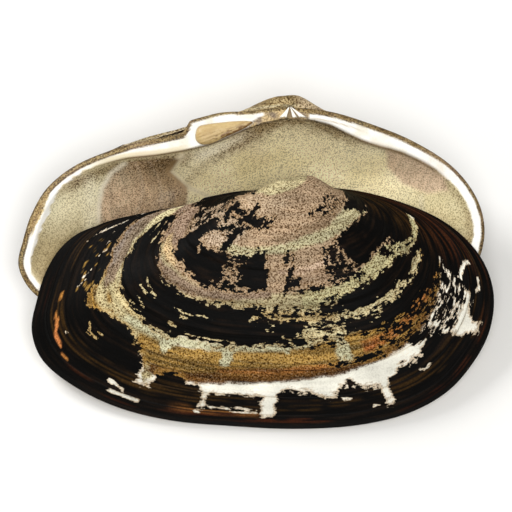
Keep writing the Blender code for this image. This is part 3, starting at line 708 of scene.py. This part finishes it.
def closed_rings(rings):
    """Points, quads and triangles of closed rings, with a fan of triangles at both ends."""
    rows, columns = rings.shape[:2]
    index = np.arange(rows * columns).reshape(rows, columns)
    ahead = np.roll(index, -1, axis=1)
    tip = np.full(columns, rows * columns)
    first = np.stack([tip, index[0], ahead[0]], axis=1)
    last = np.stack([tip + 1, ahead[-1], index[-1]], axis=1)
    points = np.concatenate([rings.reshape(-1, 3), rings[0].mean(axis=0)[None], rings[-1].mean(axis=0)[None]])
    quads = np.stack([index[:-1], index[1:], ahead[1:], ahead[:-1]], axis=-1).reshape(-1, 4)
    return points, quads, np.concatenate([first, last])


def ring_field(values):
    """A value for each point of closed_rings: the fans' middles take one from their rings."""
    flat = values.reshape(-1, *values.shape[2:])
    return np.concatenate([flat, flat[:1], flat[-1:]])


def add_object(name, data):
    item = bpy.data.objects.new(name, data)
    bpy.context.scene.collection.objects.link(item)
    return item


def make_object(name, points, faces, fields, materials, slots=None):
    """A mesh from points in millimetres, arrays of faces, and the values that its materials read."""
    data = bpy.data.meshes.new(name)
    data.from_pydata((points * MM).tolist(), [], [tuple(face) for group in faces for face in group.tolist()])
    for key, values in fields.items():
        kind, entry = "FLOAT", "value"
        if values.ndim == 2:
            kind, entry = "FLOAT_COLOR", "color"
            values = np.column_stack([values, np.ones(len(values))])
        layer = data.attributes.new(key, kind, "POINT")
        layer.data.foreach_set(entry, values.astype(np.float32).ravel())
    for material in materials:
        data.materials.append(material)
    if slots is not None:
        data.polygons.foreach_set("material_index", slots.astype(np.int32))
    data.shade_smooth()
    data.update()
    return add_object(name, data)


def tilted(points, side):
    """A valve's points as it rests: the left one below its plane, the right one above it and slid."""
    points = points * (1, 1, side)
    if side > 0:
        points = points + (*SLIDE, GAP)
    return points @ TURN


def build_valve(outer_rows, inner_rows, seed, side):
    """Points, faces, fields and material slots of the right valve (side 1) or the left one (side -1)."""
    fine_edge, edge = valve_edge(side, 400), valve_edge(side, COLUMNS)
    outer, outer_fields = outer_side(edge, np.linspace(YOUNGEST, 1, outer_rows), seed, side)
    inner, inner_fields = inner_side(edge, fine_edge, inner_rows, seed)
    points, quads, tris = closed_rings(np.concatenate([outer, inner]))
    if side > 0:
        quads, tris = quads[:, ::-1], tris[:, ::-1]
    fields = {}
    for key, values in outer_fields.items():
        unread = np.zeros((inner_rows, *values.shape[1:]))
        fields[key] = ring_field(np.concatenate([values, inner_fields.get(key, unread)]))
    slots = np.zeros(len(quads) + len(tris), int)
    slots[(outer_rows - 1) * COLUMNS : len(quads)] = 1
    slots[len(quads) + COLUMNS :] = 1
    return tilted(points, side), (quads, tris), fields, slots


# ---- materials


class Nodes:
    """A material's nodes, made one after another."""

    def __init__(self, name):
        self.material = bpy.data.materials.new(name)
        self.material.use_nodes = True
        self.tree = self.material.node_tree
        self.tree.nodes.clear()

    def add(self, kind, settings=None, **inputs):
        """A node. Its inputs are named with _ for a space, or numbered as i0, i1 and so on."""
        node = self.tree.nodes.new(kind)
        for key, value in (settings or {}).items():
            setattr(node, key, value)
        for key, value in inputs.items():
            numbered = key[0] == "i" and key[1:].isdigit()
            socket = node.inputs[int(key[1:]) if numbered else key.replace("_", " ")]
            if isinstance(value, bpy.types.NodeSocket):
                self.tree.links.new(value, socket)
            else:
                socket.default_value = value
        return node

    def attribute(self, name, output="Fac"):
        return self.add("ShaderNodeAttribute", {"attribute_name": name}).outputs[output]

    def math(self, operation, a, b, clamp=False):
        return self.add("ShaderNodeMath", {"operation": operation, "use_clamp": clamp}, i0=a, i1=b).outputs[0]

    def remap(self, value, low, high, to_low=0, to_high=1):
        even = {"interpolation_type": "SMOOTHSTEP"}
        node = self.add("ShaderNodeMapRange", even, i0=value, i1=low, i2=high, i3=to_low, i4=to_high)
        return node.outputs[0]

    def noise(self, where, scale, detail, roughness):
        node = self.add("ShaderNodeTexNoise", Vector=where, Scale=scale, Detail=detail, Roughness=roughness)
        return node.outputs["Fac"]

    def millimetres(self):
        where = self.add("ShaderNodeTexCoord").outputs["Object"]
        return self.add("ShaderNodeMapping", Vector=where, Scale=(1 / MM, 1 / MM, 1 / MM)).outputs[0]

    def mix(self, share, a, b, blend="MIX"):
        node = self.add("ShaderNodeMix", {"data_type": "RGBA", "blend_type": blend}, i0=share, i6=a, i7=b)
        return node.outputs[2]

    def darken(self, share, base, shade, *tint):
        """base, with that share of it taken to shade times a tint."""
        return self.mix(share, base, self.mix(1, shade, colour(*tint), "MULTIPLY"))

    def finish(self, height, strength, distance, base, gloss, **constants):
        """The shader and its output, with a bump from height."""
        bump = self.add("ShaderNodeBump", Strength=strength, Distance=distance, Height=height).outputs[0]
        settings = dict(Base_Color=base, Roughness=gloss, Normal=bump, **constants)
        shader = self.add("ShaderNodeBsdfPrincipled", **settings)
        self.add("ShaderNodeOutputMaterial", Surface=shader.outputs[0])
        return self.material


def colour(*values):
    return (*rgb(*values).tolist(), 1.0)


def shell_outside():
    """Bare shell with its rings, under what is left of the dark skin."""
    n = Nodes("shell_outside")
    where = n.millimetres()
    skin, rough, growth, bearings = (n.attribute(name) for name in ("skin", "rough", "growth", "compass"))
    chalk, film = n.attribute("chalk", "Color"), n.attribute("film", "Color")
    grain, fine = n.noise(where, 2.6, 3, 0.65), n.noise(where, 1.3, 3, 0.65)

    def along_growth(across, along):
        scaled = n.math("MULTIPLY", growth, across), n.math("MULTIPLY", bearings, along)
        return n.add("ShaderNodeCombineXYZ", X=scaled[0], Y=scaled[1]).outputs[0]

    rings = n.noise(along_growth(420, 0.12), 1, 2, 0.6)
    dashes = n.noise(along_growth(118, 0.42), 1, 3, 0.6)
    torn = n.math("MULTIPLY", n.math("MULTIPLY", n.math("SUBTRACT", dashes, 0.5), 3.4), rough)
    edge = n.math("ADD", n.math("ADD", skin, n.math("SUBTRACT", fine, 0.5)), torn)
    covered = n.remap(edge, 0.02, 0.14)
    pale = n.remap(n.add("ShaderNodeRGBToBW", Color=chalk).outputs[0], 0.58, 0.84, 1, 0.12)
    specks = n.remap(grain, 0.48, 0.59)
    bare = n.darken(n.math("MULTIPLY", specks, pale), chalk, chalk, 112, 92, 66)
    bare = n.darken(n.math("MULTIPLY", n.remap(rings, 0.55, 0.72, 0, 0.5), pale), bare, bare, 184, 164, 134)
    bare = n.mix(n.remap(grain, 0.27, 0.44, 0.6, 0), bare, n.mix(0.5, chalk, colour(255, 240, 205), "SCREEN"))
    fringe = n.math("MULTIPLY", n.remap(edge, -0.55, -0.02), n.remap(growth, 0.5, 0.84, 0.15, 0.55))
    bare = n.mix(fringe, bare, n.mix(specks, colour(184, 140, 68), colour(120, 85, 36)))
    dark = n.darken(n.remap(grain, 0.35, 0.65, 0, 0.6), film, film, 120, 110, 100)
    dark = n.mix(n.remap(rings, 0.6, 0.78, 0, 0.1), dark, colour(84, 56, 28))
    height = n.math("ADD", n.math("MULTIPLY", grain, 0.35), n.math("MULTIPLY", rings, 0.9))
    height = n.math("ADD", height, n.math("MULTIPLY", covered, 0.9))
    gloss = n.math("ADD", n.remap(covered, 0, 1, 0.56, 0.44), n.math("MULTIPLY", grain, 0.12))
    return n.finish(height, 0.6, 0.00013, n.mix(covered, bare, dark), gloss, Specular_IOR_Level=0.06)


def shell_inside():
    """Nacre, hinge plate and margin."""
    n = Nodes("shell_inside")
    where = n.millimetres()
    chalk, strength = n.attribute("chalk", "Color"), n.attribute("rough")
    grain, cloud = n.noise(where, 2.9, 3, 0.65), n.noise(where, 0.12, 3, 0.5)
    specks = n.math("MULTIPLY", n.remap(grain, 0.47, 0.6), strength, True)
    lights = n.math("MULTIPLY", n.remap(grain, 0.26, 0.43, 0.7, 0), strength)
    base = n.darken(specks, chalk, chalk, 98, 78, 46)
    base = n.mix(lights, base, n.mix(0.6, chalk, colour(250, 240, 214), "SCREEN"))
    # painted iridescent sheen: faint pink and green clouds over the nacre
    base = n.mix(n.remap(cloud, 0.5, 0.72, 0, 0.12), base, colour(204, 172, 150))
    base = n.mix(n.remap(cloud, 0.28, 0.48, 0.12, 0), base, colour(176, 184, 156))
    gloss = n.math("ADD", 0.42, n.math("MULTIPLY", grain, 0.16))
    sheen = {"Specular_IOR_Level": 0.25, "Coat_Weight": 0.05, "Coat_Roughness": 0.25}
    return n.finish(grain, 0.35, 0.00006, base, gloss, **sheen)


def ligament_material():
    """Dry, horny fibres."""
    n = Nodes("ligament_fibres")
    where = n.millimetres()
    chalk = n.attribute("chalk", "Color")
    stretched = n.add("ShaderNodeMapping", Vector=where, Scale=(0.5, 3.2, 3.2)).outputs[0]
    fibres, grain = n.noise(stretched, 1.2, 3, 0.6), n.noise(where, 3, 2, 0.6)
    base = n.darken(n.remap(fibres, 0.4, 0.7, 0, 0.2), chalk, chalk, 206, 168, 116)
    base = n.mix(n.remap(grain, 0.5, 0.75, 0, 0.3), base, colour(168, 116, 62))
    return n.finish(fibres, 0.35, 0.0001, base, 0.42)


# ---- the pieces

LIGAMENT_OUTLINE = (
    (-21.7, -7.2), (-21, -5.5), (-19, -4.9), (-15, -4.4), (-11, -4.1), (-8.1, -4.35), (-9.8, -5.7),
    (-12.5, -7), (-15, -8.1), (-17.6, -9.3), (-20.1, -9.7), (-21.5, -8.8),
)
LIGAMENT_SPINE = np.array(((-19.9, -7.3), (-10.6, -5)))
LIGAMENT_HEIGHT = 1.35
SUNK = 0.25  # how far the ligament and the teeth run into the land


def build_ligament(material):
    """The band: rings over its outline that swell up from its edge to its spine."""
    outline = closed_curve(LIGAMENT_OUTLINE, 220)
    a, b = LIGAMENT_SPINE
    t = np.clip(((outline - a) @ (b - a)) / ((b - a) @ (b - a)), 0, 1)
    foot = a + t[:, None] * (b - a)
    rings = []
    for share in np.linspace(0, 1, 34) ** 1.5:
        plan = outline + (foot - outline) * share * 0.97
        up = LIGAMENT_HEIGHT * (1 - 0.45 * t) * np.sqrt(np.maximum(1 - (1 - share) ** 2, 0))
        rings.append(np.column_stack([plan, GAP + up]))
    rings = np.array([rings[0] - (0, 0, SUNK), *rings])
    x, y = rings[..., 0], rings[..., 1]
    slant = y - 0.33 * x
    inner = np.linspace(0, 1, len(rings))[:, None]
    wrinkles = 0.05 * noise(slant / 0.42, x / 7, 61, 2) + 0.06 * noise(x / 1.3, slant / 1.2, 62, 2)
    rings[..., 2] += wrinkles * ease(inner, 0.06, 0.25)
    tone = mix(rgb(206, 180, 126), rgb(194, 166, 112), ease(noise(x / 3, slant / 0.8, 63, 2), -0.5, 0.7))
    # painted shade: the band is darker along its lower edge, where it curves down to the land
    lower = ease(-(y - 0.42 * x), -0.35, 1.05) * ease(x, -19.5, -16.0)
    tone = mix(tone, rgb(120, 84, 42), 0.9 * lower * ease(noise(x / 0.7, slant / 0.35, 64, 3), -0.1, 0.25))
    tone = mix(tone, rgb(110, 78, 40), 0.8 * ease(x, -17, -12) * ease(-(y - 0.46 * x), 0.5, 1.2))
    tone = mix(tone, rgb(120, 86, 50), 0.85 * (1 - ease(inner, 0.02, 0.16)))
    points, *faces = closed_rings(rings)
    return make_object("ligament_band", place(points), faces, {"chalk": ring_field(tone)}, [material])


def build_teeth(material):
    """The fan of low ridges under the beak, lying on the land."""
    a, s = np.meshgrid(np.radians(np.linspace(-44, 57, 180)), np.linspace(0, 1, 44), indexing="ij")
    fan = np.degrees(a)
    r = 0.2 + s * (2.65 / np.cos(a) + 0.08 * noise(fan / 9, a * 0, 71))
    fade = plateau(s, 0, 0.1, 0.9, 1) * ease(fan, -44, -41) * ease(57 - fan, 0, 3)
    furrows = np.array((-45, -14, -9, -4, 1, 6, 11, 34, 38, 58))
    ridges = ease(np.abs(fan[..., None] - furrows).min(axis=-1), 0.8, 3.6)
    high = (0.16 + 0.5 * ridges**1.2 + 0.05 * noise(fan / 2.5, r / 1.5, 72, 2)) * (0.4 + 0.6 * s)
    points = np.stack([0.7 + r * np.sin(a), -0.5 - r * np.cos(a), fade * (0.28 + high) - SUNK], axis=-1)
    index = np.arange(a.size).reshape(a.shape)
    quads = np.stack([index[:-1, :-1], index[:-1, 1:], index[1:, 1:], index[1:, :-1]], axis=-1).reshape(-1, 4)
    tone = mix(rgb(136, 112, 72), rgb(255, 252, 242), ease(ridges, 0.12, 0.5))
    tone = mix(tone, rgb(176, 146, 96), 0.6 * plateau(fan, -15, -12, 8, 11))
    tone = mix(tone, rgb(104, 82, 50), 0.8 * (1 - ease(s, 0, 0.12)))
    fields = {"chalk": tone.reshape(-1, 3), "rough": np.full(a.size, 0.15)}
    return make_object("hinge_teeth", place(points.reshape(-1, 3)), [quads], fields, [material])


# The left valve goes where its CAD node is: level with the middle and the top of its box, by its plain growth
# lines without the finer relief. Everything else keeps its place on it.
low, high = (np.array(corner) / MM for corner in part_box("left_valve"))
plain = growth_lines(valve_edge(-1, COLUMNS), np.linspace(YOUNGEST, 1, 60)).reshape(-1, 3)
plain = tilted(plain, -1)
shift = (low + high) / 2 - (plain.min(axis=0) + plain.max(axis=0)) / 2
shift[2] = high[2] - plain[:, 2].max()


def place(points):
    """From the left valve's own frame, with +Z up, to the object's, in millimetres."""
    return points @ TURN + shift


outside, inside = shell_outside(), shell_inside()
for name, node, slot, (points, faces, fields, slots) in (
    ("lower_valve", "left_valve", "shell_inside_up", build_valve(84, 112, 5, -1)),
    ("upper_valve", "right_valve", "shell_outside_up", build_valve(160, 38, 2, 1)),
):
    points = points + shift
    points[:, 2] = np.maximum(points[:, 2], 0)
    valve = make_object(name, points, faces, fields, [outside, inside], slots)
    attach(valve, "root")
    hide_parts(node)
ligament = build_ligament(ligament_material())
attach(ligament, "root")
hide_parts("ligament")
teeth = build_teeth(inside)
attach(teeth, "root")


# ---- floor, light and camera

LENS = 400  # long, because the picture is drawn without perspective
SENSOR = 36
VIEW_WIDTH = 0.1215  # metres across the picture at the object

data = bpy.data.meshes.new("floor")
data.from_pydata([(x, y, 0) for x, y in ((-3, -3), (3, -3), (3, 3), (-3, 3))], [], [(0, 1, 2, 3)])
floor = add_object("floor", data)
floor.location.z = -0.0002
card = Nodes("floor_card")
shader = card.add("ShaderNodeBsdfPrincipled", Base_Color=colour(246, 245, 242), Roughness=0.9)
card.add("ShaderNodeOutputMaterial", Surface=shader.outputs[0])
data.materials.append(card.material)
floor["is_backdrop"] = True

# Two soft lights: the direction, the distance, the diameter in metres and the power in watts.
for name, direction, distance, size, power in (
    ("key", (-0.75, 0.65, 1), 0.6, 0.26, 2.1),
    ("front", (0.12, -0.42, 1), 0.8, 0.5, 3.4),
):
    data = bpy.data.lights.new(name, "AREA")
    data.shape, data.size, data.energy = "DISK", size, power
    light = add_object(name, data)
    light.location = Vector(direction).normalized() * distance
    light.rotation_euler = Vector(direction).to_track_quat("Z", "Y").to_euler()
world = bpy.data.worlds.new("studio")
world.use_nodes = True
background = world.node_tree.nodes["Background"].inputs
background["Color"].default_value = (1, 0.99, 0.97, 1)
background["Strength"].default_value = 0.37
bpy.context.scene.world = world
bpy.context.scene.view_settings.view_transform = "Standard"

# The camera looks square on to the plane of the margins, at the middle of the whole object.
look = Vector((0, -sin(TILT), cos(TILT)))
low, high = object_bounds()
data = bpy.data.cameras.new("camera")
data.lens, data.sensor_width = LENS, SENSOR
data.clip_start, data.clip_end = 0.01, 50
camera = add_object("camera", data)
camera.location = (low + high) / 2 + look * (VIEW_WIDTH * LENS / SENSOR)
camera.rotation_euler = look.to_track_quat("Z", "Y").to_euler()
bpy.context.scene.camera = camera
